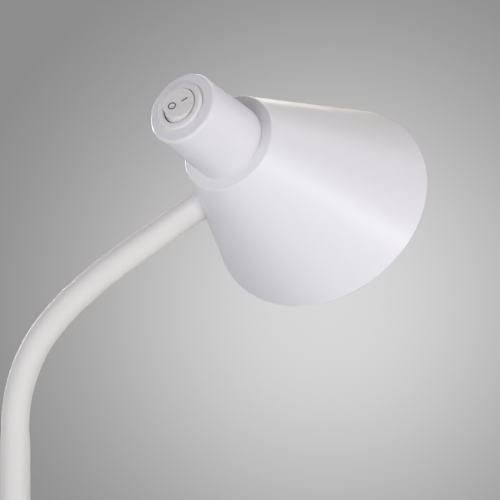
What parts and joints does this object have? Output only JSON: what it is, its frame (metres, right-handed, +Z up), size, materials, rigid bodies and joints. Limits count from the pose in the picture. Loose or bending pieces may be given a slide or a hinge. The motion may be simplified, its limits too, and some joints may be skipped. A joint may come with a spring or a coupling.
{
  "type": "gooseneck desk lamp",
  "caption": "Desk lamp with a weighted round base, a bendable sleeved neck and a conical shade whose rear neck carries a round rocker switch.",
  "frame": {"origin": "centre of the base's underside, on the surface the lamp stands on", "axes": "+Z up along the stem, +X the way the neck bends, +Y completes the right-handed frame"},
  "size_m": [0.266, 0.15, 0.3907],
  "materials": {
    "cover_plastic": "satin moulded, edges rounded",
    "shade_plastic": "satin moulded, cool white with a lavender tint",
    "sleeve_rubber": "soft matte warm white tubing",
    "switch_plastic": "semi-gloss warm white",
    "holder_plastic": "plain moulded",
    "bulb_plastic": "smooth white",
    "diffuser": "frosted, milky",
    "pad_foam": "fine closed-cell foam",
    "grommet_rubber": "matte",
    "zinc_steel": "bright zinc plated",
    "spring_steel": "drawn wire",
    "ballast_iron": "sand cast, painted black",
    "brass": "bare",
    "wire_pvc": "PVC insulated",
    "insulator": "black glass",
    "cap_nickel": "nickel plated",
    "board_aluminium": "white lacquered board"
  },
  "bodies": {
    "stand": {"foot_pad": "pad_foam", "base_plate": "zinc_steel", "plate_screws": "zinc_steel", "ballast": "ballast_iron", "base_cover": "cover_plastic", "cord_grommet": "grommet_rubber", "terminal_block": "holder_plastic", "block_screws": "brass", "base_collar": "cover_plastic", "stem_nut": "zinc_steel", "stem_washer": "zinc_steel", "stem_nipple": "zinc_steel", "stem_tube": "spring_steel", "lower_ferrule": "zinc_steel", "stem_lead": "wire_pvc", "stem_core": "spring_steel", "stem_sleeve": "sleeve_rubber"},
    "segment_1": {"core_1": "spring_steel", "lead_1": "wire_pvc", "sleeve_1": "sleeve_rubber"},
    "segment_2": {"core_2": "spring_steel", "lead_2": "wire_pvc", "sleeve_2": "sleeve_rubber"},
    "segment_3": {"core_3": "spring_steel", "lead_3": "wire_pvc", "sleeve_3": "sleeve_rubber"},
    "segment_4": {"core_4": "spring_steel", "lead_4": "wire_pvc", "sleeve_4": "sleeve_rubber"},
    "segment_5": {"core_5": "spring_steel", "lead_5": "wire_pvc", "sleeve_5": "sleeve_rubber"},
    "segment_6": {"core_6": "spring_steel", "lead_6": "wire_pvc", "sleeve_6": "sleeve_rubber"},
    "head": {"head_core": "spring_steel", "head_leads": "wire_pvc", "head_sleeve": "sleeve_rubber", "upper_ferrule": "zinc_steel", "head_washer": "zinc_steel", "head_nut": "zinc_steel", "shade": "shade_plastic", "neck_cover": "shade_plastic", "lampholder": "holder_plastic", "holder_ring": "holder_plastic", "holder_shell": "brass", "holder_contact": "brass", "holder_terminals": "brass", "switch_body": "switch_plastic", "switch_terminals": "brass", "link_wire": "wire_pvc", "bulb_cap": "cap_nickel", "bulb_contact": "insulator", "bulb_body": "bulb_plastic", "bulb_board": "board_aluminium", "bulb_diffuser": "diffuser"},
    "rocker": {"rocker": "switch_plastic", "plunger": "spring_steel"},
    "lever": {"contact_lever": "brass"}
  },
  "joints": [
    {"name": "neck_pitch_1", "type": "hinge", "parent": "stand", "child": "segment_1", "pos_m": [0.00098, 0, 0.24195], "axis": [0, 1, 0], "range_deg": [-18, 20]},
    {"name": "neck_side_1", "type": "hinge", "parent": "segment_1", "child": "segment_2", "pos_m": [0.00669, 0, 0.26053], "axis": [0.9083, 0, -0.4182], "range_deg": [-20, 20]},
    {"name": "neck_pitch_2", "type": "hinge", "parent": "segment_2", "child": "segment_3", "pos_m": [0.0171, 0, 0.27695], "axis": [0, 1, 0], "range_deg": [-18, 20]},
    {"name": "neck_side_2", "type": "hinge", "parent": "segment_3", "child": "segment_4", "pos_m": [0.03076, 0, 0.29084], "axis": [0.6562, 0, -0.7546], "range_deg": [-20, 20]},
    {"name": "neck_pitch_3", "type": "hinge", "parent": "segment_4", "child": "segment_5", "pos_m": [0.04603, 0, 0.30295], "axis": [0, 1, 0], "range_deg": [-18, 20]},
    {"name": "neck_side_3", "type": "hinge", "parent": "segment_5", "child": "segment_6", "pos_m": [0.06217, 0, 0.3139], "axis": [0.5373, 0, -0.8434], "range_deg": [-20, 20]},
    {"name": "neck_pitch_4", "type": "hinge", "parent": "segment_6", "child": "head", "pos_m": [0.07862, 0, 0.32437], "axis": [0, 1, 0], "range_deg": [-18, 20]},
    {"name": "rocker_press", "type": "hinge", "parent": "head", "child": "rocker", "pos_m": [0.10624, -0.05218, 0.37487], "axis": [0.4744, -0.4695, -0.7447], "range_deg": [0, 22]},
    {"name": "lever_tip", "type": "hinge", "parent": "head", "child": "lever", "pos_m": [0.10811, -0.04565, 0.37194], "axis": [0.4744, -0.4695, -0.7447], "range_deg": [-18, 0]}
  ],
  "couplings": [
    {"joint": "lever_tip", "follows": "rocker_press", "ratio": -0.81818}
  ]
}
